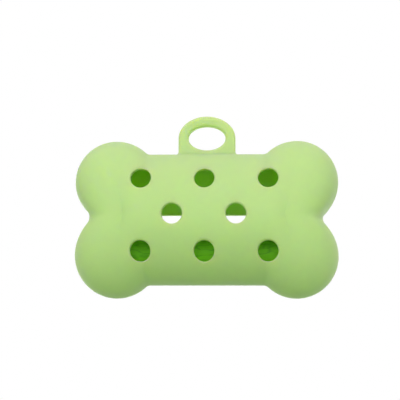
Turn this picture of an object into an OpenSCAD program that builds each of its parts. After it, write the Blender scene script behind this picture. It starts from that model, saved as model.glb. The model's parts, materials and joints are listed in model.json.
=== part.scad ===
// Bone-shaped bag dispenser for dog walks: a soft one-piece case with a
// hanging loop, peep holes in front and a dispensing slot behind, and the
// part-used roll of bags that lies loose inside it. The origin is the middle
// of the eye that it hangs from; +X is the bone's length and -Y its front.

/* [Bone] */
// Length of the bone, end to end
bone_length = 89.6; // [84:0.1:100]
// Height of the bone over the lobes, without the loop
bone_height = 53.7; // [50:0.1:57]
// Diameter of the straight shaft
shaft_diameter = 44.8; // [42:0.2:48]
// Radius of the four lobes, seen from the front
lobe_radius = 14.2; // [13:0.1:15.5]
// Depth of the lobes, front to back
lobe_depth = 42.4; // [38:0.2:46]
// Radius of the hollow corner between the shaft and a lobe
corner_radius = 2.4; // [1:0.1:5]
// Radius of the notch between the two lobes of an end
notch_radius = 3.6; // [1.5:0.1:6]
// How far the ridge of the shaft stops short of the lobe centres
ridge_stop = 4; // [2:0.1:7]
// How much of the notch fills up towards the front and the back
notch_fill = 0.8; // [0:0.05:1]
// Squareness of a lobe's section, where 2 is round
lobe_power = 2.4; // [2:0.1:3.4]
// Thickness of the moulded wall
wall = 3; // [2:0.1:4]

/* [Peep holes] */
// Diameter of a peep hole
hole_diameter = 6.8; // [4:0.1:8]
// Spacing of the holes along a row
hole_pitch = 21.15; // [18:0.05:24]
// Height of the outer rows above and below the middle row
row_rise = 12.1; // [10:0.1:13.5]
// Holes in an outer row
outer_row_holes = 3; // [1:1:3]
// Holes in the middle row
middle_row_holes = 2; // [0:1:2]

/* [Dispensing slot] */
// Length of the slot in the back
slot_length = 60; // [46:0.5:66]
// Height of the slot
slot_height = 7.4; // [5:0.1:10]

/* [Hanging loop] */
// Width of the oval eye
eye_width = 12.7; // [9:0.1:18]
// Height of the oval eye
eye_height = 8.3; // [6:0.1:11]
// Width of the band round the eye
band_width = 3.4; // [2.4:0.1:5]
// Thickness of the loop, front to back
loop_thickness = 4; // [3:0.1:6]
// Height of the sill between the shaft and the eye
sill_height = 1.5; // [1:0.1:4]
// Radius of the fillets at the foot of the loop
foot_radius = 1.2; // [0.4:0.1:2.5]

/* [Bag roll] */
// Diameter of the part-used roll
roll_diameter = 16; // [14.5:0.5:28]
// Width of the roll
roll_width = 58; // [50:0.5:62]
// Outer diameter of the cardboard core
core_diameter = 12; // [8:0.5:13]
// Thickness of the core's cardboard
core_wall = 0.9; // [0.5:0.1:1.5]
// How far the core stands out of the film at each end
core_proud = 0.6; // [0:0.1:2]
// Thickness of the folded film at its free edge
fold_thickness = 0.35; // [0.1:0.05:0.8]
// Gap between the core and the innermost turn
core_gap = 0.05; // [0.02:0.01:0.1]
// Gap under the roll, where it lies on the floor of the case
rest_gap = 0.3; // [0.2:0.05:1]

/* [Hidden] */

case_green = [0.74, 0.87, 0.56];
film_green = [0.47, 0.85, 0.19];
card_brown = [0.72, 0.60, 0.45];

shaft_radius = shaft_diameter / 2;
hollow_radius = shaft_radius - wall;
lobe_x = bone_length / 2 - lobe_radius;
lobe_z = bone_height / 2 - lobe_radius;
eye_z = shaft_radius + sill_height + eye_height / 2;
roll_z = -(hollow_radius - rest_gap - roll_diameter / 2);
cut = 1;
bore_fn = 64;
oval_steps = 56;
foot_steps = 6;
film_steps = 72;

// The outline of a quarter of the bone is a straight, a hollow corner, a lobe
// and half a notch. The corner and the notch roll on the lobe's circle, so a
// skin that lies `t` further in keeps the same centres.
corner_x = lobe_x - sqrt(pow(lobe_radius + corner_radius, 2)
    - pow(shaft_radius + corner_radius - lobe_z, 2));
notch_x = lobe_x + sqrt(pow(lobe_radius + notch_radius, 2) - pow(lobe_z, 2));
ridge_x = lobe_x - ridge_stop;
corner_end = atan2(lobe_z - shaft_radius - corner_radius, lobe_x - corner_x);
lobe_start = corner_end + 180;
lobe_end = atan2(-lobe_z, notch_x - lobe_x);
notch_start = lobe_end + 180;

// Lengths of the three arcs, and the shares of them over which the ridge runs
// out and the section changes from the shaft's to the lobe's
degree = PI / 180;
corner_len = corner_radius * (corner_end + 90) * degree;
lobe_len = lobe_radius * (lobe_start - lobe_end) * degree;
notch_len = notch_radius * (180 - notch_start) * degree;
round_len = corner_len + lobe_len + notch_len;
ridge_share = 0.34;
section_share = 0.5;

// Steps along the straight, the corner, the lobe and the notch, and rings
// from the outline to the ridge
outer_steps = [3, 4, 16, 4];
outer_rings = 13;
inner_steps = [2, 3, 11, 3];
inner_rings = 9;

function clamp(w) = min(max(w, 0), 1);
function settle(w) = 1 - pow(1 - clamp(w), 2);
function ease(w) = pow(clamp(w), 2) * (3 - 2 * clamp(w));
function total(n) = n[0] + n[1] + n[2] + n[3];
function arc(x, z, r, a, b, w) = let (g = a + (b - a) * w) [x + r * cos(g), z + r * sin(g)];

// Where station k lies: its stretch of the outline and how far along that
function part(k, n) =
    k <= n[0] ? 0 : k <= n[0] + n[1] ? 1 : k <= n[0] + n[1] + n[2] ? 2 : 3;
function along(k, n) = let (s = part(k, n))
    s == 0 ? k / n[0] :
    s == 1 ? (k - n[0]) / n[1] :
    s == 2 ? (k - n[0] - n[1]) / n[2] : (k - n[0] - n[1] - n[2]) / n[3];

// The outline's point [x, z] at station k, on a skin `t` inside the outer one
function rim(k, t, n) = let (s = part(k, n), w = along(k, n))
    s == 0 ? [corner_x * w, shaft_radius - t] :
    s == 1 ? arc(corner_x, shaft_radius + corner_radius, corner_radius + t, -90, corner_end, w) :
    s == 2 ? arc(lobe_x, lobe_z, lobe_radius - t, lobe_start, lobe_end, w) :
    arc(notch_x, 0, notch_radius + t, notch_start, 180, w);

// Share of the rounded stretch that lies behind station k
function share(k, n) = let (s = part(k, n), w = along(k, n))
    s == 0 ? 0 :
    s == 1 ? w * corner_len / round_len :
    s == 2 ? (corner_len + w * lobe_len) / round_len :
    (corner_len + lobe_len + w * notch_len) / round_len;

// The ridge along the front and back of the bone, where the ribs start
function ridge(k, n) = k <= n[0] ? corner_x * k / n[0]
    : corner_x + (ridge_x - corner_x) * settle(share(k, n) / ridge_share);
function ridge_end(n, k = 0) = share(k, n) >= ridge_share ? k : ridge_end(n, k + 1);
function half_depth(k, t, n) =
    shaft_radius + (lobe_depth / 2 - shaft_radius) * ease(share(k, n) / section_share) - t;
function filling(k, q, t, n) = part(k, n) < 2 || q[1] > lobe_z ? 0
    : notch_fill * (lobe_x + lobe_radius - t - q[0]);
function power(k, n) = 2 + (lobe_power - 2) * ease(share(k, n) / section_share);

// Stations j run clockwise round the whole bone, in four mirrored quarters
function quarter(j, n) = floor(j / total(n));
function folded(j, n) = let (q = quarter(j, n), k = j - q * total(n)) q % 2 == 0 ? k : total(n) - k;
function side_x(j, n) = quarter(j, n) < 2 ? 1 : -1;
function side_z(j, n) = let (q = quarter(j, n)) q == 0 || q == 3 ? 1 : -1;

// A rib is a quarter of a superellipse from the ridge out to the rim. `a` is
// its angle, 0 at the rim, and `face` is -1 in front and 1 behind.
function rib_point(j, a, face, t, n) =
    let (k = folded(j, n), q = rim(k, t, n), c = ridge(k, n), e = 2 / power(k, n),
         u = pow(cos(a), e), v = pow(sin(a), e), x = q[0] + filling(k, q, t, n) * (1 - u * u))
    [side_x(j, n) * (c + (x - c) * u), face * half_depth(k, t, n) * v, side_z(j, n) * q[1] * u];
function ridge_point(i, face, t, n) = let (k = abs(i))
    [sign(i) * ridge(k, n), face * half_depth(k, t, n), 0];

// Closed skin of the bone, `t` inside the outer surface
module skin(t, n, rings) {
    count = 4 * total(n);
    last = ridge_end(n);
    block = (rings - 1) * count + 2 * last + 1;
    spine = function (j) (rings - 1) * count + last + side_x(j, n) * min(folded(j, n), last);
    id = function (f, m, j) let (g = j % count)
        m == 0 ? g : count + f * block + (m < rings ? (m - 1) * count + g : spine(g));
    points = concat(
        [for (j = [0 : count - 1]) rib_point(j, 0, 1, t, n)],
        [for (f = [0, 1]) each concat(
            [for (m = [1 : rings - 1], j = [0 : count - 1])
                rib_point(j, 90 * m / rings, 2 * f - 1, t, n)],
            [for (i = [-last : last]) ridge_point(i, 2 * f - 1, t, n)])]);
    faces = [for (f = [0, 1], m = [0 : rings - 1], j = [0 : count - 1])
        let (p = id(f, m, j), q = id(f, m, j + 1), r = id(f, m + 1, j + 1), s = id(f, m + 1, j))
        each concat(f == 0 ? [[p, q, r]] : [[r, q, p]],
            r == s ? [] : f == 0 ? [[p, r, s]] : [[s, r, p]])];
    polyhedron(points, faces, convexity = 6);
}

// Row of drills along Y, through the front wall only
module drill_row(holes, z) {
    for (i = [0 : 1 : holes - 1])
        translate([(i - (holes - 1) / 2) * hole_pitch, 0, z])
            rotate([90, 0, 0]) cylinder(h = shaft_radius + cut, d = hole_diameter, $fn = bore_fn);
}

module peep_holes() {
    for (z = [-row_rise, row_rise]) drill_row(outer_row_holes, z);
    drill_row(middle_row_holes, 0);
}

module slot() {
    for (x = [-1, 1])
        translate([x * (slot_length - slot_height) / 2, 0, 0])
            rotate([-90, 0, 0]) cylinder(h = shaft_radius + cut, d = slot_height, $fn = bore_fn);
    translate([-(slot_length - slot_height) / 2, 0, -slot_height / 2])
        cube([slot_length - slot_height, shaft_radius + cut, slot_height]);
}

function oval(w, h, a, b, steps) = [for (i = [0 : steps])
    let (g = a + (b - a) * i / steps) [w / 2 * cos(g), h / 2 * sin(g)]];

// The loop's flat outline round its eye, with filleted feet on the shaft
module loop_outline() {
    half = eye_width / 2 + band_width;
    foot_z = -eye_height / 2 - sill_height;
    root_z = foot_z - wall / 2;
    foot = [for (i = [0 : foot_steps]) let (g = 90 * i / foot_steps)
        [half + foot_radius * (1 - cos(g)), foot_z + foot_radius * (1 - sin(g))]];
    dome = oval(2 * half, eye_height + 2 * band_width, 0, 180, oval_steps / 2);
    difference() {
        polygon(concat([[half + foot_radius, root_z]],
            [for (i = [foot_steps : -1 : 0]) foot[i]], dome,
            [for (p = foot) [-p[0], p[1]]], [[-half - foot_radius, root_z]]));
        polygon(oval(eye_width, eye_height, 0, 360 * (1 - 1 / oval_steps), oval_steps - 1));
    }
}

module hanging_loop() {
    rotate([90, 0, 0]) linear_extrude(loop_thickness, center = true) loop_outline();
}

module bone_case() {
    color(case_green) union() {
        translate([0, 0, -eye_z]) difference() {
            skin(0, outer_steps, outer_rings);
            skin(wall, inner_steps, inner_rings);
            peep_holes();
            slot();
        }
        hanging_loop();
    }
}

// Lays the roll's own axis along the bone, on the floor of the hollow
module on_floor() {
    translate([0, 0, roll_z - eye_z]) rotate([0, 90, 0]) children();
}

// The film is wound in a spiral that ends in one folded step
module wound_bags() {
    film_w = roll_width - 2 * core_proud;
    color(film_green) on_floor() difference() {
        linear_extrude(film_w, center = true) polygon([for (i = [0 : film_steps])
            let (w = i / film_steps, r = roll_diameter / 2 - fold_thickness * (1 - w))
            [r * cos(-360 * w), r * sin(-360 * w)]]);
        cylinder(h = film_w + cut, d = core_diameter + 2 * core_gap, center = true, $fn = bore_fn);
    }
}

module roll_core() {
    color(card_brown) on_floor() difference() {
        cylinder(h = roll_width, d = core_diameter, center = true, $fn = bore_fn);
        cylinder(h = roll_width + cut, d = core_diameter - 2 * core_wall, center = true,
            $fn = bore_fn);
    }
}

bone_case();
wound_bags();
roll_core();
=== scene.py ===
import bpy
import json
from math import atan2, cos, pi, radians, sin, sqrt
from mathutils import Matrix, Vector

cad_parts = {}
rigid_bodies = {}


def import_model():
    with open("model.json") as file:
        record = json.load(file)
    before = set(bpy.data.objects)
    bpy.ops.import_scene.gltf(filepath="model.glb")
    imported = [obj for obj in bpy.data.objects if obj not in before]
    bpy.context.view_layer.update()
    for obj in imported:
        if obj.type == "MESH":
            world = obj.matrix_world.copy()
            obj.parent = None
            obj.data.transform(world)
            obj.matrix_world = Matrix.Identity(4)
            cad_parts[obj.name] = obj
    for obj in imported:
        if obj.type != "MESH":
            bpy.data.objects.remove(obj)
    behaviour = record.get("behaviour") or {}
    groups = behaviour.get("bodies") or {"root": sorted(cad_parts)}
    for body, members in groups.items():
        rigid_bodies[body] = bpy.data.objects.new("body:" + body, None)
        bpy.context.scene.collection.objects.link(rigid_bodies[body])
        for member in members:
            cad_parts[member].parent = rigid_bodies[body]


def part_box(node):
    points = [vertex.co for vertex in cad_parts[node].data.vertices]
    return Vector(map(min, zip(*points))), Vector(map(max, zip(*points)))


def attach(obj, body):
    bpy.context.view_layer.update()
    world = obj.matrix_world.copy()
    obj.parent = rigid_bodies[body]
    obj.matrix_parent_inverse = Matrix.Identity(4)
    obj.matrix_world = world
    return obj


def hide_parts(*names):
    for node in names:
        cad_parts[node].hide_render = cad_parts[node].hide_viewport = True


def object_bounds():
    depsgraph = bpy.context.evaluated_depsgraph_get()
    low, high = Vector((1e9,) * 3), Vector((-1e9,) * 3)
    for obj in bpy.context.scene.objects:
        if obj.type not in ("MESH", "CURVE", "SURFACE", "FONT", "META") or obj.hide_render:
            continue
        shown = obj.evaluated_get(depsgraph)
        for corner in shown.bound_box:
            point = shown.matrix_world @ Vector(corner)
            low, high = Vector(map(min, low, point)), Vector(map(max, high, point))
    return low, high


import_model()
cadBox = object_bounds()
mm = 0.001


# A socket that formulas can use with +, -, * and /
class Field:
    def __init__(self, tree, socket):
        self.tree = tree
        self.socket = socket

    def do(self, operation, *others):
        return calc(self.tree, operation, self, *others)

    def __add__(self, other):
        return self.do("ADD", other)

    def __sub__(self, other):
        return self.do("SUBTRACT", other)

    def __mul__(self, other):
        return self.do("MULTIPLY", other)

    def __truediv__(self, other):
        return self.do("DIVIDE", other)

    def __radd__(self, other):
        return self.do("ADD", other)

    def __rsub__(self, other):
        return calc(self.tree, "SUBTRACT", other, self)

    def __rmul__(self, other):
        return self.do("MULTIPLY", other)


def plug(tree, socket, value):
    if isinstance(value, Field):
        value = value.socket
    if isinstance(value, bpy.types.NodeSocket):
        tree.links.new(value, socket)
    else:
        socket.default_value = value


def calc(tree, operation, *values):
    node = tree.nodes.new("ShaderNodeMath")
    node.operation = operation
    for socket, value in zip(node.inputs, values):
        plug(tree, socket, value)
    return Field(tree, node.outputs[0])


# Adds a node: settings go on the node itself, values on its inputs by name
def step(tree, kind, values, **settings):
    node = tree.nodes.new(kind)
    for name, value in settings.items():
        setattr(node, name, value)
    for name, value in values.items():
        plug(tree, node.inputs[name], value)
    return node


# Eases from 0 to 1 while the value goes from start to end
def softStep(tree, value, start=0.0, end=1.0):
    node = step(tree, "ShaderNodeMapRange", {
        "Value": value, "From Min": start, "From Max": end}, interpolation_type="SMOOTHSTEP")
    return Field(tree, node.outputs[0])


def vector(tree, x, y, z):
    return step(tree, "ShaderNodeCombineXYZ", {"X": x, "Y": y, "Z": z}).outputs[0]


def split(tree, socket):
    node = step(tree, "ShaderNodeSeparateXYZ", {"Vector": socket})
    return [Field(tree, out) for out in node.outputs]


def join(tree, *parts):
    node = tree.nodes.new("GeometryNodeJoinGeometry")
    for part in parts:
        tree.links.new(part, node.inputs[0])
    return node.outputs[0]


# Sets the range of a random number, whose sockets share their names with other kinds
def plugRange(tree, node, low, high):
    floats = [i for i in node.inputs if i.type == "VALUE" and i.name in ("Min", "Max")]
    for socket, value in zip(floats, (low, high)):
        plug(tree, socket, value)


# A new geometry tree with named inputs, given as {label: socket type}
def newTree(name, inputs):
    tree = bpy.data.node_groups.new(name, "GeometryNodeTree")
    tree.interface.new_socket("Geometry", in_out="OUTPUT", socket_type="NodeSocketGeometry")
    for label, kind in inputs.items():
        tree.interface.new_socket(label, in_out="INPUT", socket_type="NodeSocket" + kind)
    source = tree.nodes.new("NodeGroupInput")
    return tree, {out.name: Field(tree, out) for out in source.outputs if out.name}


# A flat grid of points, and how far each point is from its middle, up to 0.5 both ways
def unitGrid(tree, along, across):
    grid = step(tree, "GeometryNodeMeshGrid", {
        "Size X": 1.0, "Size Y": 1.0, "Vertices X": along, "Vertices Y": across})
    here = step(tree, "GeometryNodeInputPosition", {}).outputs[0]
    gx, gy, _ = split(tree, here)
    return grid.outputs["Mesh"], here, gx, gy


def endTree(tree, geometry, material):
    real = step(tree, "GeometryNodeRealizeInstances", {"Geometry": geometry})
    smooth = step(tree, "GeometryNodeSetShadeSmooth", {"Geometry": real.outputs[0]})
    painted = step(tree, "GeometryNodeSetMaterial", {
        "Geometry": smooth.outputs[0], "Material": material})
    end = tree.nodes.new("NodeGroupOutput")
    tree.links.new(painted.outputs[0], end.inputs[0])


# Moves the points to their places, closes the seams and ends the tree
def closeTree(tree, ask, geometry, position):
    moved = step(tree, "GeometryNodeSetPosition", {"Geometry": geometry, "Position": position})
    closed = step(tree, "GeometryNodeMergeByDistance", {
        "Geometry": moved.outputs[0], "Distance": ask["Weld"]})
    endTree(tree, closed.outputs[0], ask["Material"])
    return tree


def addObject(name, data):
    thing = bpy.data.objects.new(name, data)
    bpy.context.scene.collection.objects.link(thing)
    return thing


# Runs a tree on an empty mesh, turned for the work if asked, and keeps the result as a plain mesh
def grow(name, tree, values, turn=Matrix.Identity(4)):
    seed = addObject(name + "Seed", bpy.data.meshes.new(name + "Seed"))
    seed.matrix_world = turn
    modifier = seed.modifiers.new("grow", "NODES")
    modifier.node_group = tree
    sockets = {i.name: i.identifier for i in tree.interface.items_tree if i.in_out == "INPUT"}
    for label, value in values.items():
        modifier[sockets[label]] = value
    bpy.context.view_layer.update()
    graph = bpy.context.evaluated_depsgraph_get()
    mesh = bpy.data.meshes.new_from_object(seed.evaluated_get(graph), depsgraph=graph)
    mesh.transform(turn)
    bpy.data.objects.remove(seed)
    while mesh.materials[0] is None:      # joined cubes bring an empty slot along
        mesh.materials.pop(index=0)
    mesh.name = name
    return addObject(name, mesh)


# A closed curve or a set of points for a tree to read, which takes no part in the object
def guideCurve(name, points):
    data = bpy.data.curves.new(name, "CURVE")
    data.dimensions = "3D"
    line = data.splines.new("POLY")
    line.points.add(len(points) - 1)
    for spot, place in zip(line.points, points):
        spot.co = (*place, 1)
    line.use_cyclic_u = True
    return addObject(name, data)


def guidePoints(name, points):
    mesh = bpy.data.meshes.new(name)
    mesh.from_pydata(points, [], [])
    return addObject(name, mesh)


# The bone's skin

boneValues = {
    "height": 53.7 * mm,      # over the lobes
    "lobeRadius": 14.2 * mm,
    "lobeDepth": 42.4 * mm,
    "cornerRadius": 2.4 * mm,
    "notchRadius": 3.6 * mm,
    "ridgeStop": 4 * mm,      # the ridge ends this far inside the lobe centres
    "notchFill": 0.8,
    "lobePower": 2.4,         # of the superellipse that the lobes have in section
    "ridgeShare": 0.34,       # ridge and depth change over this share of the way to the notch
    "sectionShare": 0.5,      # and the section over this
    "wall": 3 * mm,
    "outlineStep": 0.2 * mm,
    "stations": 440,
    "rings": 52,
    "innerStations": 320,
    "innerRings": 36,
    "weld": 0.01 * mm,
}


def boneMeasures(v):
    m = {}
    low, high = cadBox[0], cadBox[1]
    shaft = -low[1]
    m["shaftRadius"] = shaft
    m["axisZ"] = low[2] + v["height"] / 2
    m["lobeX"] = high[0] - v["lobeRadius"]
    m["lobeZ"] = v["height"] / 2 - v["lobeRadius"]
    near = v["lobeRadius"] + v["cornerRadius"]
    far = v["lobeRadius"] + v["notchRadius"]
    m["cornerX"] = m["lobeX"] - sqrt(near ** 2 - (shaft + v["cornerRadius"] - m["lobeZ"]) ** 2)
    m["notchX"] = m["lobeX"] + sqrt(far ** 2 - m["lobeZ"] ** 2)
    m["cornerEnd"] = atan2(m["lobeZ"] - shaft - v["cornerRadius"], m["lobeX"] - m["cornerX"])
    m["lobeEnd"] = atan2(-m["lobeZ"], m["notchX"] - m["lobeX"])
    m["cornerLength"] = v["cornerRadius"] * (m["cornerEnd"] + pi / 2)
    m["lobeLength"] = v["lobeRadius"] * (m["cornerEnd"] + pi - m["lobeEnd"])
    m["notchLength"] = v["notchRadius"] * -m["lobeEnd"]
    m["quarter"] = m["cornerX"] + (m["cornerLength"] + m["lobeLength"] + m["notchLength"])
    return m


# One quarter of the outline as (x, z), a straight and three arcs, from the top middle to the notch
def outlineQuarter(v, m):
    stretches = [
        (m["cornerX"], lambda w: (m["cornerX"] * w, m["shaftRadius"])),
        (m["cornerLength"], lambda w: arcPoint(m["cornerX"], m["shaftRadius"] + v["cornerRadius"],
                                               v["cornerRadius"], -pi / 2, m["cornerEnd"], w)),
        (m["lobeLength"], lambda w: arcPoint(m["lobeX"], m["lobeZ"], v["lobeRadius"],
                                             m["cornerEnd"] + pi, m["lobeEnd"], w)),
        (m["notchLength"], lambda w: arcPoint(m["notchX"], 0, v["notchRadius"],
                                              m["lobeEnd"] + pi, pi, w)),
    ]
    points = []
    for length, place in stretches:
        count = max(2, round(length / v["outlineStep"]))
        points += [place(i / count) for i in range(count)]
    return points + [stretches[-1][1](1)]


def arcPoint(x, z, radius, start, end, w):
    angle = start + (end - start) * w
    return x + radius * cos(angle), z + radius * sin(angle)


def boneOutline(v, m):
    one = outlineQuarter(v, m)
    half = one + [(x, -z) for x, z in reversed(one[:-1])]
    whole = half + [(-x, z) for x, z in reversed(half[1:-1])]
    return guideCurve("boneOutline", [(x, 0, z) for x, z in whole])


# Ribs, each a quarter of a superellipse, rise from the outline to the ridge in front and behind
def boneTree():
    tree, ask = newTree("boneSkin", {
        "Outline": "Object", "Stations": "Int", "Rings": "Int", "Inset": "Float",
        "Quarter": "Float", "Corner X": "Float", "Ridge End": "Float", "Ridge Share": "Float",
        "Section Share": "Float", "Shaft Radius": "Float", "Lobe Half Depth": "Float",
        "Lobe Power": "Float", "Lobe Height": "Float", "Reach": "Float", "Notch Fill": "Float",
        "Axis Height": "Float", "Weld": "Float", "Material": "Material"})
    grid, _, gx, gy = unitGrid(tree, ask["Stations"] + 1, ask["Rings"] * 2 + 1)
    run = (gx + 0.5) * ask["Quarter"] * 4        # way round the outline
    folded = calc(tree, "PINGPONG", run, ask["Quarter"])
    shape = step(tree, "GeometryNodeObjectInfo", {"Object": ask["Outline"]})
    rim = step(tree, "GeometryNodeSampleCurve", {
        "Curves": shape.outputs["Geometry"], "Length": run}, mode="LENGTH")
    tx, _, tz = split(tree, rim.outputs["Tangent"])
    px, _, pz = split(tree, rim.outputs["Position"])
    rimX = px + tz * ask["Inset"]                # the outward normal is (-tz, tx)
    rimZ = pz - tx * ask["Inset"]
    side = calc(tree, "SIGN", px)
    outX = calc(tree, "ABSOLUTE", rimX)
    beyond = calc(tree, "MAXIMUM", folded - ask["Corner X"], 0.0)
    share = beyond / (ask["Quarter"] - ask["Corner X"])      # 0 on the shaft, 1 at the notch
    left = 1 - calc(tree, "MINIMUM", share / ask["Ridge Share"], 1.0)
    ridge = calc(tree, "MINIMUM", folded, ask["Corner X"]) + \
        (ask["Ridge End"] - ask["Corner X"]) * (1 - left * left)
    turn = softStep(tree, share / ask["Section Share"])
    sink = softStep(tree, share / ask["Ridge Share"])
    lobeExtra = ask["Lobe Half Depth"] - ask["Shaft Radius"]
    depth = ask["Shaft Radius"] + lobeExtra * sink - ask["Inset"]
    power = (ask["Lobe Power"] - 2) * turn + 2
    ease = calc(tree, "DIVIDE", 2.0, power)
    angle = gy * pi
    u = calc(tree, "POWER", calc(tree, "MAXIMUM", calc(tree, "COSINE", angle), 0.0), ease)
    up = calc(tree, "POWER", calc(tree, "ABSOLUTE", calc(tree, "SINE", angle)), ease)
    inNotch = calc(tree, "LESS_THAN", calc(tree, "ABSOLUTE", rimZ), ask["Lobe Height"]) * \
        calc(tree, "GREATER_THAN", share, 0.0)
    filling = inNotch * ask["Notch Fill"] * (ask["Reach"] - ask["Inset"] - outX) * (1 - u * u)
    x = side * (ridge + (outX + filling - ridge) * u)
    y = calc(tree, "SIGN", gy) * depth * up
    z = rimZ * u + ask["Axis Height"]
    return closeTree(tree, ask, grid, vector(tree, x, y, z))


def makeSkins(m, material):
    v = boneValues
    base = {"Outline": boneOutline(v, m), "Quarter": m["quarter"], "Corner X": m["cornerX"],
            "Ridge End": m["lobeX"] - v["ridgeStop"], "Ridge Share": v["ridgeShare"],
            "Section Share": v["sectionShare"], "Shaft Radius": m["shaftRadius"],
            "Lobe Half Depth": v["lobeDepth"] / 2, "Lobe Power": v["lobePower"],
            "Lobe Height": m["lobeZ"], "Reach": cadBox[1][0], "Notch Fill": v["notchFill"],
            "Axis Height": m["axisZ"], "Weld": v["weld"], "Material": material}
    tree = boneTree()
    outer = grow("outerSkin", tree, {
        **base, "Stations": v["stations"], "Rings": v["rings"], "Inset": 0.0})
    inner = grow("innerSkin", tree, {
        **base, "Stations": v["innerStations"], "Rings": v["innerRings"], "Inset": v["wall"]})
    print("bone skins", len(outer.data.vertices), len(inner.data.vertices))
    return outer, inner


# Soft lips of the holes and the slot, and the fillet at the foot of the loop

lipValues = {
    "outerLip": 0.55 * mm,
    "innerLip": 0.35 * mm,
    "footFillet": 1.0 * mm,
    "filletLead": 0.35,       # how far a fillet runs on straight at its ends, as a share of it
    "meet": radians(15),      # angle at which an arc crosses the skin
    "arcSteps": 5,
    "clear": 8 * mm,          # a tool stands off this far outside
    "inside": 1.5 * mm,       # and this far inside
    "rayStart": 60 * mm,
    "weld": 0.004 * mm,
}

holeValues = {
    "diameter": 6.8 * mm,
    "pitch": 21.15 * mm,
    "rowRise": 12.1 * mm,
    "rows": [(1, 3), (0, 2), (-1, 3)],       # (rises over the middle, holes)
    "steps": 56,
}

slotValues = {
    "length": 60 * mm,
    "height": 7.4 * mm,
    "steps": 320,
}

cornerSteps = 64
pointShift = 0.37             # of a step, keeps points off the lines of symmetry


# Outline of a rectangle with round corners, counterclockwise, with its points evenly spaced
def roundBox(width, height, corner, count):
    dense = []
    for turn, sx, sy in [(0, 1, 1), (pi / 2, -1, 1), (pi, -1, -1), (3 * pi / 2, 1, -1)]:
        cx, cy = sx * (width / 2 - corner), sy * (height / 2 - corner)
        turns = [turn + pi / 2 / cornerSteps * i for i in range(cornerSteps + 1)]
        dense += [(cx + corner * cos(a), cy + corner * sin(a)) for a in turns]
    return evenly(dense, count)


def evenly(dense, count):
    ring = dense + dense[:1]
    lengths = [0]
    for p, q in zip(ring, ring[1:]):
        lengths.append(lengths[-1] + sqrt((q[0] - p[0]) ** 2 + (q[1] - p[1]) ** 2))
    spaced, k = [], 0
    for i in range(count):
        goal = lengths[-1] * (i + pointShift) / count
        while lengths[k + 1] < goal:
            k += 1
        w = (goal - lengths[k]) / (lengths[k + 1] - lengths[k])
        p, q = ring[k], ring[k + 1]
        spaced.append((p[0] + (q[0] - p[0]) * w, p[1] + (q[1] - p[1]) * w))
    return spaced


# Arc of a rim from where it crosses the skin to the wall of the hole, as (out, up)
def lipArc(size, v):
    first = pi / 2 - v["meet"]
    turns = [first * (1 - i / v["arcSteps"]) for i in range(v["arcSteps"] + 1)]
    arc = [(size * (1 - cos(a)), -size * (1 - sin(a))) for a in turns]
    lead = (arc[0][0] + size * cos(v["meet"]), arc[0][1] + size * sin(v["meet"]))
    return [lead] + arc


# Rows of a drill that rounds both rims, from inside out, as (out from the outline, up,
# 1 where it goes by the inner skin)
def drillRows(v):
    inner = [(out, -up, 1) for out, up in lipArc(v["innerLip"], v)]
    outer = [(out, up, 0) for out, up in reversed(lipArc(v["outerLip"], v))]
    return [(0, -v["inside"], 1), (inner[0][0], -v["inside"], 1)] + inner + outer + \
        [(outer[-1][0], v["clear"], 0), (0, v["clear"], 0)]


# Rows of a fillet that is added, from under the skin up the side of what stands on it
def filletRows(v):
    size, meet = v["footFillet"], v["meet"]
    turns = [meet + (pi / 2 - 2 * meet) * i / v["arcSteps"] for i in range(v["arcSteps"] + 1)]
    arc = [(size * (1 - sin(a)), size * (1 - cos(a)), 0) for a in turns]
    lead = v["filletLead"] * size
    low = (arc[0][0] + lead * cos(meet), arc[0][1] - lead * sin(meet), 0)
    high = (arc[-1][0] - lead * sin(meet), arc[-1][1] + lead * cos(meet), 0)
    return [(0, -v["inside"], 0), (low[0], -v["inside"], 0), low] + arc + \
        [high, (high[0] - lead, high[1], 0), (0, high[1], 0)]


# Row number `row` of a profile, whose three numbers are kept as a point
def sampleRow(tree, profile, row, here):
    rows = step(tree, "GeometryNodeObjectInfo", {"Object": profile})
    pick = step(tree, "GeometryNodeSampleIndex", {
        "Geometry": rows.outputs["Geometry"], "Value": here, "Index": row},
        data_type="FLOAT_VECTOR")
    return pick.outputs[0]


# Height of a skin over or under a point, found from outside
def skinHeight(tree, skin, x, y, start):
    held = step(tree, "GeometryNodeObjectInfo", {"Object": skin}, transform_space="RELATIVE")
    ray = step(tree, "GeometryNodeRaycast", {
        "Target Geometry": held.outputs["Geometry"], "Source Position": vector(tree, x, y, start),
        "Ray Direction": (0, 0, -1), "Ray Length": 1.0})
    return split(tree, ray.outputs["Hit Position"])[2]


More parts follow.
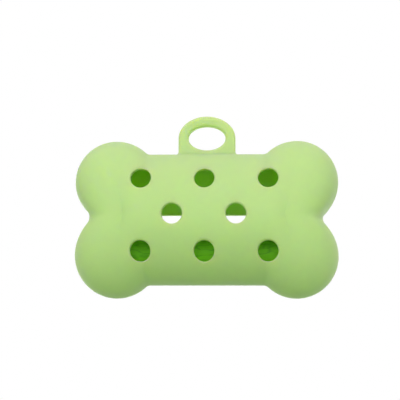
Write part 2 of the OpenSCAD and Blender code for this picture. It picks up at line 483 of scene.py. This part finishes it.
# Sweeps the rows of a profile round an outline at each centre, and sets each row off from the
# skin it goes by
def toolTree():
    tree, ask = newTree("lippedTool", {
        "Outline": "Object", "Profile": "Object", "Centres": "Object", "Outer Skin": "Object",
        "Inner Skin": "Object", "Steps": "Int", "Rows": "Int", "Ray Start": "Float",
        "Weld": "Float", "Material": "Material"})
    grid, here, gx, gy = unitGrid(tree, ask["Steps"] + 1, ask["Rows"])
    row = calc(tree, "ROUND", (gy + 0.5) * (ask["Rows"] - 1))
    shape = step(tree, "GeometryNodeObjectInfo", {"Object": ask["Outline"]})
    edge = step(tree, "GeometryNodeSampleCurve", {
        "Curves": shape.outputs["Geometry"], "Factor": gx + 0.5}, mode="FACTOR")
    px, py, _ = split(tree, edge.outputs["Position"])
    tx, ty, _ = split(tree, edge.outputs["Tangent"])
    out, up, inward = split(tree, sampleRow(tree, ask["Profile"], row, here))
    # The first and the last row shrink to a point and close the ends
    keep = calc(tree, "GREATER_THAN", row, 0.5) * calc(tree, "LESS_THAN", row, ask["Rows"] - 1.5)
    marked = step(tree, "GeometryNodeStoreNamedAttribute", {
        "Geometry": grid, "Name": "inward", "Value": inward}, data_type="FLOAT")
    swept = step(tree, "GeometryNodeSetPosition", {
        "Geometry": marked.outputs[0],
        "Position": vector(tree, (px + ty * out) * keep, (py - tx * out) * keep, up)})
    spots = step(tree, "GeometryNodeObjectInfo", {
        "Object": ask["Centres"]}, transform_space="RELATIVE")
    copies = step(tree, "GeometryNodeInstanceOnPoints", {
        "Points": spots.outputs["Geometry"], "Instance": swept.outputs[0]})
    real = step(tree, "GeometryNodeRealizeInstances", {"Geometry": copies.outputs[0]})
    inwardHere = Field(tree, step(tree, "GeometryNodeInputNamedAttribute", {
        "Name": "inward"}, data_type="FLOAT").outputs[0])
    x, y, z = split(tree, here)
    outerZ = skinHeight(tree, ask["Outer Skin"], x, y, ask["Ray Start"])
    innerZ = skinHeight(tree, ask["Inner Skin"], x, y, ask["Ray Start"])
    fitted = vector(tree, x, y, z + outerZ + (innerZ - outerZ) * inwardHere)
    return closeTree(tree, ask, real.outputs[0], fitted)


# Sweeps a drill or a fillet round an outline, given in its own plane
def growTool(name, tree, base, outline, rows, centres, turn=0):
    return grow(name, tree, {
        **base, "Outline": guideCurve(name + "Outline", [(x, y, 0) for x, y in outline]),
        "Profile": guidePoints(name + "Rows", rows),
        "Centres": guidePoints(name + "Centres", centres),
        "Steps": len(outline), "Rows": len(rows)}, Matrix.Rotation(turn, 4, "X"))


# The hanging loop

loopValues = {
    "eyeWidth": 12.7 * mm,
    "eyeHeight": 8.3 * mm,
    "band": 3.4 * mm,
    "thickness": 4 * mm,
    "root": 1.5 * mm,         # how deep the loop's foot stands in the wall
    "footPower": 10,          # squareness of that foot
    "footSteps": 200,
    "edgeRadius": 0.95 * mm,
    "edgeSteps": 6,
    "support": 0.2 * mm,
    "flatSteps": 5,
    "steps": 180,
    "weld": 0.004 * mm,
}


# Eye and rim of the loop in its own plane, point by point at the same angles: an oval with a
# boxy foot
def loopOutlines(v, footZ):
    half, top = v["eyeWidth"] / 2 + v["band"], v["eyeHeight"] / 2 + v["band"]
    low, power = v["root"] - footZ, v["footPower"]
    eye, rim = [], []
    for i in range(v["steps"]):
        angle = 2 * pi * (i + pointShift) / v["steps"]
        c, s = cos(angle), sin(angle)
        stretch = 1 if s > 0 else (abs(c) ** power + abs(s) ** power) ** (-1 / power)
        eye.append((v["eyeWidth"] / 2 * c, 0, v["eyeHeight"] / 2 * s))
        rim.append((half * c * stretch, 0, (top if s > 0 else low) * s * stretch))
    return eye, rim


# Round section of the band: (in from the edge, across, 1 on the eye's side), closed
def bandRows(v):
    r, half = v["edgeRadius"], v["thickness"] / 2
    rim = [(r + v["support"], -half, 0)]
    for side in (-1, 1):
        turns = [pi / 2 * i / v["edgeSteps"] for i in range(v["edgeSteps"] + 1)]
        arc = [(r * (1 - sin(a)), side * (half - r + r * cos(a)), 0) for a in turns]
        rim += arc if side < 0 else arc[::-1]
    rim.append((r + v["support"], half, 0))
    eye = [(inset, -across, 1) for inset, across, _ in rim]
    flats = [(r + v["support"], half, i / v["flatSteps"]) for i in range(1, v["flatSteps"])]
    back = [(inset, -across, 1 - onEye) for inset, across, onEye in flats]
    return (rim + flats + eye + back + rim[:1])[::-1]


def bandTree():
    tree, ask = newTree("loopBand", {
        "Rim": "Object", "Eye": "Object", "Profile": "Object", "Steps": "Int", "Rows": "Int",
        "Weld": "Float", "Material": "Material"})
    grid, here, gx, gy = unitGrid(tree, ask["Steps"] + 1, ask["Rows"])
    row = calc(tree, "ROUND", (gy + 0.5) * (ask["Rows"] - 1))
    inset, across, onEye = split(tree, sampleRow(tree, ask["Profile"], row, here))
    column = calc(tree, "ROUND", (gx + 0.5) * ask["Steps"])
    columns = [calc(tree, "FLOORED_MODULO", column + shift, ask["Steps"]) for shift in (-1, 0, 1)]
    places = []
    for side, way in (("Rim", 1), ("Eye", -1)):
        last, this, after = [split(tree, sampleRow(tree, ask[side], k, here)) for k in columns]
        dx, dz = after[0] - last[0], after[2] - last[2]
        size = inset * way / calc(tree, "SQRT", dx * dx + dz * dz)
        places.append((this[0] - dz * size, this[2] + dx * size))
    (rimX, rimZ), (eyeX, eyeZ) = places
    return closeTree(tree, ask, grid, vector(
        tree, rimX + (eyeX - rimX) * onEye, across, rimZ + (eyeZ - rimZ) * onEye))


def makeLoop(m, material):
    v = loopValues
    eye, rim = loopOutlines(v, m["axisZ"] + m["shaftRadius"])
    rows = bandRows(v)
    return grow("loopBand", bandTree(), {
        "Rim": guidePoints("loopRim", rim), "Eye": guidePoints("loopEye", eye),
        "Profile": guidePoints("bandRows", rows), "Steps": v["steps"], "Rows": len(rows),
        "Weld": v["weld"], "Material": material})


# Hollows the bone, cuts the holes and the slot, and joins the loop and its foot on
def caseTree():
    tree, ask = newTree("boneCase", {
        "Outer Skin": "Object", "Inner Skin": "Object", "Holes": "Object", "Slot": "Object",
        "Loop": "Object", "Foot": "Object", "Material": "Material"})
    solid = {name: step(tree, "GeometryNodeObjectInfo", {"Object": ask[name]}).outputs["Geometry"]
             for name in ("Outer Skin", "Inner Skin", "Holes", "Slot", "Loop", "Foot")}
    cut = step(tree, "GeometryNodeMeshBoolean", {"Mesh 1": solid["Outer Skin"]},
               operation="DIFFERENCE", solver="MANIFOLD")
    for name in ("Inner Skin", "Holes", "Slot"):
        tree.links.new(solid[name], cut.inputs["Mesh 2"])
    whole = step(tree, "GeometryNodeMeshBoolean", {}, operation="UNION", solver="MANIFOLD")
    for part in (cut.outputs[0], solid["Loop"], solid["Foot"]):
        tree.links.new(part, whole.inputs["Mesh 2"])
    endTree(tree, whole.outputs[0], ask["Material"])
    return tree


def makeCase(material):
    m, lip = boneMeasures(boneValues), lipValues
    hole, slit, loop = holeValues, slotValues, loopValues
    outer, inner = makeSkins(m, material)
    tools, drill = toolTree(), drillRows(lip)
    base = {"Outer Skin": outer, "Inner Skin": inner, "Ray Start": lip["rayStart"],
            "Weld": lip["weld"], "Material": material}
    spots = [((i - (count - 1) / 2) * hole["pitch"], 0, m["axisZ"] + side * hole["rowRise"])
             for side, count in hole["rows"] for i in range(count)]
    circle = roundBox(hole["diameter"], hole["diameter"], hole["diameter"] / 2, hole["steps"])
    holes = growTool("peepHoles", tools, base, circle, drill, spots, pi / 2)
    mouth = roundBox(slit["length"], slit["height"], slit["height"] / 2, slit["steps"])
    slot = growTool("bagSlot", tools, base, mouth, drill, [(0, 0, m["axisZ"])], -pi / 2)
    print("peep holes and slot", len(spots), "+ 1")

    band = makeLoop(m, material)
    sole = roundBox(loop["eyeWidth"] + 2 * loop["band"], loop["thickness"], loop["edgeRadius"],
                    loop["footSteps"])
    foot = growTool("loopFoot", tools, base, sole, filletRows(lip), [(0, 0, 0)])
    case = grow("boneCase", caseTree(), {
        "Outer Skin": outer, "Inner Skin": inner, "Holes": holes, "Slot": slot, "Loop": band,
        "Foot": foot, "Material": material})
    print("case", len(case.data.polygons), "faces")
    return case


# The roll: thin film wound in a spiral on a cardboard core

rollValues = {
    "turns": 8,
    "filmWidth": 56.6 * mm,
    "innerRadius": 6.08 * mm,
    "outerRadius": 7.95 * mm,
    "thickness": 0.15 * mm,
    "foldAt": 0.17,           # where the folded film has an edge, in widths from the middle
    "foldSoftness": 0.012,    # over how much of the width it steps
    "foldStep": 0.14 * mm,
    "crease": 0.3 * mm,       # how far the layers sink in along their creases
    "creaseSize": 330.0,
    "creaseDraw": 0.4,        # under 1, creases are drawn out along the roll
    "creaseRadius": 8 * mm,   # of the circle on which the creases' noise is read
    "drift": 0.3 * mm,        # how unevenly the layers stand at the ends
    "driftWaves": (37.0, 11.3),   # a quick and a slow wave, in radians over the whole film
    "around": 90,             # steps a turn
    "along": 40,
    "startAngle": -pi / 2,    # the free edge lies under the roll
    "tabs": 34,               # torn bridges of the perforation along the free edge
    "tabSize": (0.85 * mm, 0.5 * mm, 0.1 * mm),
    "tabShortest": 0.55,      # as a share of that size
    "tabMargin": 4.0,         # room at the ends, in drifts
    "tabSeed": 4,
    "weld": 0.001 * mm,
}

coreValues = {
    "length": 58 * mm,
    "radius": 5.96 * mm,
    "wall": 0.88 * mm,
    "edge": 0.16 * mm,
    "edgeBow": 0.3,           # how far the middle of a rounded edge stands in, as a share of it
    "around": 96,
    "along": 30,
}


# A ribbon with a thickness that winds outwards round the X axis, closed on all sides, with a
# torn edge
def filmTree():
    tree, ask = newTree("woundFilm", {
        "Turns": "Float", "Width": "Float", "Inner Radius": "Float", "Outer Radius": "Float",
        "Thickness": "Float", "Fold At": "Float", "Fold Softness": "Float", "Fold Step": "Float",
        "Crease": "Float", "Crease Size": "Float", "Crease Draw": "Float",
        "Crease Radius": "Float", "Drift": "Float", "Quick Wave": "Float", "Slow Wave": "Float",
        "Steps": "Int", "Along": "Int", "Start Angle": "Float", "Axis Height": "Float",
        "Tabs": "Int", "Tab Size": "Vector", "Tab Shortest": "Float", "Tab Margin": "Float",
        "Tab Seed": "Int", "Weld": "Float", "Material": "Material"})
    grid, _, gx, gy = unitGrid(tree, ask["Steps"], ask["Along"])
    wound = gx + 0.5
    angle = ask["Start Angle"] - wound * ask["Turns"] * 2 * pi
    span = ask["Outer Radius"] - ask["Thickness"] - ask["Inner Radius"]
    turnedX, turnedY = calc(tree, "COSINE", angle), calc(tree, "SINE", angle)
    uneven = calc(tree, "SINE", wound * ask["Quick Wave"]) * \
        calc(tree, "SINE", wound * ask["Slow Wave"] + 1)
    x = -1 * gy * (ask["Width"] - ask["Drift"] * (1 + uneven))
    creases = step(tree, "ShaderNodeTexNoise", {
        "Vector": vector(tree, x * ask["Crease Draw"], turnedX * ask["Crease Radius"],
                         turnedY * ask["Crease Radius"]),
        "Scale": ask["Crease Size"], "Detail": 3.0, "Roughness": 0.6})
    folded = softStep(tree, gy, ask["Fold At"], ask["Fold At"] + ask["Fold Softness"])
    sunk = ask["Crease"] * Field(tree, creases.outputs["Fac"]) + ask["Fold Step"] * folded
    radius = ask["Inner Radius"] + span * wound - sunk * wound
    spiral = step(tree, "GeometryNodeSetPosition", {
        "Geometry": grid,
        "Position": vector(tree, x, turnedX * radius, turnedY * radius + ask["Axis Height"])})
    layer = step(tree, "GeometryNodeExtrudeMesh", {
        "Mesh": spiral.outputs[0], "Offset Scale": ask["Thickness"], "Individual": False},
        mode="FACES")
    under = step(tree, "GeometryNodeFlipFaces", {"Mesh": spiral.outputs[0]})
    ribbon = step(tree, "GeometryNodeMergeByDistance", {
        "Geometry": join(tree, layer.outputs["Mesh"], under.outputs[0]), "Distance": ask["Weld"]})
    endTree(tree, join(tree, ribbon.outputs[0], tornTabs(tree, ask)), ask["Material"])
    return tree


# Torn bridges of uneven width, in a row along the film's free edge
def tornTabs(tree, ask):
    edgeZ = ask["Axis Height"] - ask["Outer Radius"] + ask["Thickness"]
    half = ask["Width"] * 0.5 - ask["Drift"] * ask["Tab Margin"]
    row = step(tree, "GeometryNodeMeshLine", {
        "Count": ask["Tabs"], "Start Location": vector(tree, -1 * half, 0.0, edgeZ),
        "Offset": vector(tree, half, 0.0, edgeZ)}, mode="END_POINTS")
    tab = step(tree, "GeometryNodeMeshCube", {"Size": ask["Tab Size"]})
    size = step(tree, "FunctionNodeRandomValue", {"Seed": ask["Tab Seed"]}, data_type="FLOAT")
    plugRange(tree, size, ask["Tab Shortest"], 1.0)
    tabs = step(tree, "GeometryNodeInstanceOnPoints", {
        "Points": row.outputs["Mesh"], "Instance": tab.outputs["Mesh"],
        "Scale": vector(tree, Field(tree, size.outputs["Value"]), 1.0, 1.0)})
    return tabs.outputs[0]


def makeFilm(material, rollZ):
    v = rollValues
    return grow("woundBags", filmTree(), {
        "Turns": float(v["turns"]), "Width": v["filmWidth"], "Inner Radius": v["innerRadius"],
        "Outer Radius": v["outerRadius"], "Thickness": v["thickness"], "Fold At": v["foldAt"],
        "Fold Softness": v["foldSoftness"], "Fold Step": v["foldStep"], "Crease": v["crease"],
        "Crease Size": v["creaseSize"], "Crease Draw": v["creaseDraw"],
        "Crease Radius": v["creaseRadius"], "Drift": v["drift"],
        "Quick Wave": v["driftWaves"][0], "Slow Wave": v["driftWaves"][1],
        "Steps": v["turns"] * v["around"], "Along": v["along"], "Start Angle": v["startAngle"],
        "Axis Height": rollZ, "Tabs": v["tabs"], "Tab Size": v["tabSize"],
        "Tab Shortest": v["tabShortest"], "Tab Margin": v["tabMargin"], "Tab Seed": v["tabSeed"],
        "Weld": v["weld"], "Material": material})


# The core is a wall profile spun round the X axis
def makeCore(material, rollZ):
    v = coreValues
    half, out, edge = v["length"] / 2, v["radius"], v["edge"]
    inside, bow = out - v["wall"], edge * v["edgeBow"]
    straight = 2 * half - 2 * edge
    outer = [(-half + edge + straight * i / v["along"], out) for i in range(v["along"] + 1)]
    inner = [(-x, inside) for x, _ in outer]
    rim = [(half - bow, out - bow), (half, out - edge), (half, inside + edge),
           (half - bow, inside + bow)]
    profile = outer + rim + inner + [(-x, r) for x, r in reversed(rim)]
    count, around = len(profile), v["around"]
    points = [(x, r * cos(2 * pi * k / around), rollZ + r * sin(2 * pi * k / around))
              for k in range(around) for x, r in profile]
    faces = []
    for k in range(around):
        this, after = k * count, (k + 1) % around * count
        faces += [(after + i, after + (i + 1) % count, this + (i + 1) % count, this + i)
                  for i in range(count)]
    mesh = bpy.data.meshes.new("coreTube")
    mesh.from_pydata(points, [], faces)
    mesh.materials.append(material)
    mesh.shade_smooth()
    mesh.update()
    return addObject("coreTube", mesh)


# Materials

def newMaterial(name):
    material = bpy.data.materials.new(name)
    material.use_nodes = True
    tree = material.node_tree
    shader = tree.nodes["Principled BSDF"]
    return material, tree, shader


def mixColors(tree, factor, first, second, blend="MIX"):
    node = tree.nodes.new("ShaderNodeMix")
    node.data_type, node.blend_type = "RGBA", blend
    sockets = {socket.identifier: socket for socket in node.inputs}
    for label, value in (("Factor_Float", factor), ("A_Color", first), ("B_Color", second)):
        plug(tree, sockets[label], value)
    return next(out for out in node.outputs if out.type == "RGBA")


# Shader group with inputs given as {label: (kind, value)} and outputs as {label: kind}
def newGroup(name, inputs, outputs):
    tree = bpy.data.node_groups.new(name, "ShaderNodeTree")
    for label, (kind, value) in inputs.items():
        socket = tree.interface.new_socket(label, in_out="INPUT", socket_type="NodeSocket" + kind)
        if value is not None:
            socket.default_value = value
    for label, kind in outputs.items():
        tree.interface.new_socket(label, in_out="OUTPUT", socket_type="NodeSocket" + kind)
    source = tree.nodes.new("NodeGroupInput")
    end = tree.nodes.new("NodeGroupOutput")
    return tree, {out.name: Field(tree, out) for out in source.outputs if out.name}, end


# Fine grain of a moulded or rolled surface, with broad clouds in the colour
def surfaceGroup():
    white = (1, 1, 1, 1)
    tree, ask, end = newGroup("surfaceGrain", {
        "Position": ("Vector", None), "Color": ("Color", white), "Tint": ("Color", white),
        "Cloud Size": ("Float", 20.0), "Cloud Depth": ("Float", 0.3),
        "Grain Size": ("Float", 900.0), "Roughness": ("Float", 0.5),
        "Roughness Spread": ("Float", 0.1),
    }, {"Color": "Color", "Roughness": "Float", "Height": "Float"})
    clouds = step(tree, "ShaderNodeTexNoise", {
        "Vector": ask["Position"], "Scale": ask["Cloud Size"], "Detail": 3.0, "Roughness": 0.55})
    grain = step(tree, "ShaderNodeTexNoise", {
        "Vector": ask["Position"], "Scale": ask["Grain Size"], "Detail": 2.0, "Roughness": 0.5})
    share = Field(tree, clouds.outputs["Fac"]) * ask["Cloud Depth"]
    plug(tree, end.inputs["Color"], mixColors(tree, share, ask["Color"], ask["Tint"]))
    rough = ask["Roughness"] + (Field(tree, grain.outputs["Fac"]) - 0.5) * ask["Roughness Spread"]
    plug(tree, end.inputs["Roughness"], rough)
    plug(tree, end.inputs["Height"], Field(tree, grain.outputs["Fac"]))
    return tree


def objectCoords(tree):
    return tree.nodes.new("ShaderNodeTexCoord").outputs["Object"]


# Adds the grain to a material with the values of its look, and gives its node and bumped normal
def useGrain(tree, group, v, where):
    node = tree.nodes.new("ShaderNodeGroup")
    node.node_tree = group
    values = {
        "Position": where, "Color": v["color"], "Tint": v["tint"], "Cloud Size": v["cloudSize"],
        "Cloud Depth": v["cloudDepth"], "Grain Size": v["grainSize"], "Roughness": v["roughness"],
        "Roughness Spread": v["roughnessSpread"]}
    for label, value in values.items():
        plug(tree, node.inputs[label], value)
    bump = step(tree, "ShaderNodeBump", {
        "Height": node.outputs["Height"], "Strength": v["grainBump"], "Distance": v["grainDepth"]})
    return node, bump.outputs[0]


# Links a colour, the grain's roughness and a bumped normal to a shader
def dress(tree, shader, color, grain, normal):
    tree.links.new(color, shader.inputs["Base Color"])
    tree.links.new(grain.outputs["Roughness"], shader.inputs["Roughness"])
    tree.links.new(normal, shader.inputs["Normal"])


siliconeLook = {
    "color": (0.525, 0.737, 0.3, 1),
    "tint": (0.505, 0.712, 0.28, 1),
    "cloudSize": 28.0,
    "cloudDepth": 0.7,
    "grainSize": 1400.0,
    "grainBump": 0.35,
    "grainDepth": 0.02 * mm,
    "roughness": 0.6,
    "roughnessSpread": 0.12,
    "gloss": 0.35,
    "reach": (6.2, 8.0, 1.5),     # how far red, green and blue light carry in the rubber, in mm
    "loopShadeColor": (0.5, 0.63, 0.3, 1),        # painted shade: the thin loop is coloured duller, against the light carried through it from behind
    "loopShadeAbove": (-6.5 * mm, -4.5 * mm),     # this painted shade sets in over these heights
    "loopShadeWithin": (10.5 * mm, 13 * mm),      # and ends between these distances from the middle
}


def makeSilicone(group):
    v = siliconeLook
    material, tree, shader = newMaterial("siliconeLightGreen")
    skin, normal = useGrain(tree, group, v, objectCoords(tree))
    x, _, z = split(tree, objectCoords(tree))
    high = softStep(tree, z, *v["loopShadeAbove"])
    wide = softStep(tree, calc(tree, "ABSOLUTE", x), *v["loopShadeWithin"])
    # Painted shade: the loop's colour is mixed towards a duller green, to damp the light that
    # shines through it from behind
    color = mixColors(tree, high * (1 - wide), skin.outputs["Color"], v["loopShadeColor"])
    dress(tree, shader, color, skin, normal)
    shader.inputs["Specular IOR Level"].default_value = v["gloss"]
    shader.inputs["Subsurface Weight"].default_value = 1.0
    shader.inputs["Subsurface Radius"].default_value = v["reach"]
    shader.inputs["Subsurface Scale"].default_value = 1 * mm
    return material


filmLook = {
    "color": (0.24, 0.82, 0.03, 1),
    "tint": (0.33, 0.96, 0.025, 1),
    "cloudSize": 160.0,
    "cloudDepth": 0.9,
    "creaseShadeColor": (0.2, 0.72, 0.025, 1),
    "creaseShadeWidth": 0.06,      # of the noise that the painted shade follows
    "grainSize": 300.0,
    "grainBump": 0.6,
    "grainDepth": 0.5 * mm,
    "roughness": 0.46,
    "roughnessSpread": 0.25,
    "gloss": 0.12,
    "stretch": (0.35, 1.4, 1.4),     # creases run along the roll
}


def makeFilmMaterial(group):
    v = filmLook
    material, tree, shader = newMaterial("bagFilm")
    drawn = step(tree, "ShaderNodeMapping", {"Vector": objectCoords(tree), "Scale": v["stretch"]})
    film, normal = useGrain(tree, group, v, drawn.outputs[0])
    # Painted shade: the film is darker along lines of its grain noise, standing in for the shade
    # in its creases
    away = calc(tree, "ABSOLUTE", Field(tree, film.outputs["Height"]) - 0.5)
    color = mixColors(tree, softStep(tree, away, 0.0, v["creaseShadeWidth"]), v["creaseShadeColor"],
                      film.outputs["Color"])
    dress(tree, shader, color, film, normal)
    shader.inputs["Specular IOR Level"].default_value = v["gloss"]
    return material


cardLook = {
    "color": (0.45, 0.33, 0.2, 1),
    "tint": (0.33, 0.23, 0.13, 1),
    "cloudSize": 500.0,
    "cloudDepth": 0.9,
    "grainSize": 1800.0,
    "grainBump": 0.7,
    "grainDepth": 0.06 * mm,
    "roughness": 0.85,
    "roughnessSpread": 0.1,
    "seamPitch": 21 * mm,     # length over which the wound strip goes round once
    "seamWidth": 0.025,       # as a share of the pitch
    "seamBump": 0.8,
    "seamDepth": 0.12 * mm,
    "seamShade": 0.55,
}


# Cardboard wound from a strip, whose butt joint runs round the tube as a helix
def makeCardMaterial(group, rollZ):
    v = cardLook
    material, tree, shader = newMaterial("coreCardboard")
    centred = step(tree, "ShaderNodeMapping", {
        "Vector": objectCoords(tree), "Location": (0, 0, -rollZ)}).outputs[0]
    card, normal = useGrain(tree, group, v, centred)
    x, y, z = split(tree, centred)
    wound = calc(tree, "FRACT", x / v["seamPitch"] + calc(tree, "ARCTAN2", z, y) / (2 * pi))
    seam = 1 - softStep(tree, calc(tree, "ABSOLUTE", wound - 0.5), 0.0, v["seamWidth"])
    shade = mixColors(tree, seam * v["seamShade"], card.outputs["Color"], v["tint"], "MULTIPLY")
    groove = step(tree, "ShaderNodeBump", {
        "Height": 1 - seam, "Strength": v["seamBump"], "Distance": v["seamDepth"],
        "Normal": normal})
    dress(tree, shader, shade, card, groove.outputs[0])
    return material


# The studio: pale floor, soft lights and the camera

viewValues = {
    "azimuth": 2.8,
    "elevation": -6.0,
    "distance": 546.9 * mm,
    "lens": 144,
    "roll": 0.18,
    "sensor": 36,
    "picture": 400,            # pixels
    "middle": (6.9, -19.95),   # where the bone's middle stands from the picture's, in pixels
    "clip": (0.01, 20),
}

studioValues = {
    "floorDrop": 80 * mm,     # under the bone's axis
    "floorSize": 3.0,
    "floorColor": (0.9, 0.9, 0.9, 1),
    "floorBounce": (0.3, 0.45, 0.14, 1),     # what the floor throws back on the object
    "floorSpeckle": 60.0,
    "floorRoughness": (0.55, 0.7),
    "fadeStart": 0.12,        # where the floor starts to fade to white, in metres from its middle
    "fadeEnd": 0.9,
    "fadeGlow": 0.6,
    "shine": 2.0,             # how much brighter the floor is where the object mirrors it
    "worldStrength": 0.7,
    "lights": {               # place, size and power
        "keyLight": ((-0.12, -0.8, 0.8), (0.9, 0.8), 1.5),
        "fillLight": ((0, -1.3, 0.05), (1.2, 0.8), 10.1),
        "backLight": ((0, 0.9, -0.02), (1.2, 0.8), 4),
    },
}


def makeCamera(axisZ):
    v = viewValues
    a, e = radians(v["azimuth"]), radians(v["elevation"])
    back = Vector((sin(a) * cos(e), -cos(a) * cos(e), sin(e)))
    perPixel = v["sensor"] / v["lens"] / v["picture"]
    turned = Matrix.Rotation(v["middle"][0] * perPixel, 4, "Y") @ \
        Matrix.Rotation(-v["middle"][1] * perPixel, 4, "X") @ \
        Matrix.Rotation(radians(v["roll"]), 4, "Z")
    data = bpy.data.cameras.new("camera")
    data.lens, data.sensor_width = v["lens"], v["sensor"]
    data.clip_start, data.clip_end = v["clip"]
    camera = addObject("camera", data)
    camera.matrix_world = Matrix.Translation(Vector((0, 0, axisZ)) + back * v["distance"]) @ \
        (-back).to_track_quat("-Z", "Y").to_matrix().to_4x4() @ turned
    bpy.context.scene.camera = camera


def makeLight(name, place, target, size, power):
    data = bpy.data.lights.new(name, "AREA")
    data.shape = "RECTANGLE"
    data.size, data.size_y = size
    data.energy = power
    lamp = addObject(name, data)
    lamp.location = place
    lamp.visible_camera = False
    lamp.rotation_euler = (Vector(place) - Vector(target)).to_track_quat("Z", "Y").to_euler()


# Pale to the camera and in reflections, darker and green in the light it throws back
def makeFloorMaterial(v):
    material, tree, shader = newMaterial("floorPale")
    speckle = step(tree, "ShaderNodeTexNoise", {
        "Vector": objectCoords(tree), "Scale": v["floorSpeckle"], "Detail": 3.0})
    low, high = v["floorRoughness"]
    ramp = step(tree, "ShaderNodeMapRange", {
        "Value": speckle.outputs["Fac"], "To Min": low, "To Max": high})
    tree.links.new(ramp.outputs[0], shader.inputs["Roughness"])
    rays = tree.nodes.new("ShaderNodeLightPath")
    mirrored = Field(tree, rays.outputs["Is Glossy Ray"])
    seen = calc(tree, "MAXIMUM", rays.outputs["Is Camera Ray"], mirrored)
    tone = mixColors(tree, seen, v["floorBounce"], v["floorColor"])
    tree.links.new(tone, shader.inputs["Base Color"])
    far = step(tree, "ShaderNodeVectorMath", {0: objectCoords(tree)}, operation="LENGTH")
    fade = softStep(tree, far.outputs["Value"], v["fadeStart"], v["fadeEnd"])
    plug(tree, shader.inputs["Emission Color"], fade * seen + mirrored * v["shine"])
    under = tree.nodes.new("ShaderNodeNewGeometry").outputs["Backfacing"]
    plug(tree, shader.inputs["Alpha"], 1 - Field(tree, under))      # seen through from below
    shader.inputs["Emission Strength"].default_value = v["fadeGlow"]
    return material


def makeFloor(axisZ):
    v = studioValues
    half, level = v["floorSize"] / 2, axisZ - v["floorDrop"]
    corners = [(-half, -half, level), (half, -half, level),
               (half, half, level), (-half, half, level)]
    mesh = bpy.data.meshes.new("floor")
    mesh.from_pydata(corners, [], [(0, 1, 2, 3)])
    mesh.materials.append(makeFloorMaterial(v))
    addObject("floor", mesh)


# White to the camera, and softer as a light
def makeWorld():
    world = bpy.data.worlds.new("studio")
    bpy.context.scene.world = world
    world.use_nodes = True
    tree = world.node_tree
    soft = tree.nodes["Background"]
    soft.inputs["Color"].default_value = (1, 1, 1, 1)
    soft.inputs["Strength"].default_value = studioValues["worldStrength"]
    shown = step(tree, "ShaderNodeBackground", {"Color": (1, 1, 1, 1), "Strength": 1.0})
    rays = tree.nodes.new("ShaderNodeLightPath")
    mix = tree.nodes.new("ShaderNodeMixShader")
    tree.links.new(rays.outputs["Is Camera Ray"], mix.inputs[0])
    tree.links.new(soft.outputs[0], mix.inputs[1])
    tree.links.new(shown.outputs[0], mix.inputs[2])
    tree.links.new(mix.outputs[0], tree.nodes["World Output"].inputs["Surface"])


axisZ = boneMeasures(boneValues)["axisZ"]
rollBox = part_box("roll_core")
rollZ = (rollBox[0].z + rollBox[1].z) / 2

makeCamera(axisZ)
grainGroup = surfaceGroup()
before = set(bpy.context.scene.objects)
case = makeCase(makeSilicone(grainGroup))
film = makeFilm(makeFilmMaterial(grainGroup), rollZ)
core = makeCore(makeCardMaterial(grainGroup, rollZ), rollZ)
for helper in set(bpy.context.scene.objects) - before - {case, film, core}:
    bpy.data.objects.remove(helper)
print("roll made")

for piece, body, node, finish in ((case, "case", "bone_case", "case"),
                                  (film, "roll", "wound_bags", "film"),
                                  (core, "roll", "roll_core", "cardboard")):
    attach(piece, body)
    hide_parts(node)

makeFloor(axisZ)
makeWorld()
bpy.context.scene.view_settings.view_transform = "Standard"
for name, (place, size, power) in studioValues["lights"].items():
    makeLight(name, place, (0, 0, axisZ), size, power)
print("studio made")
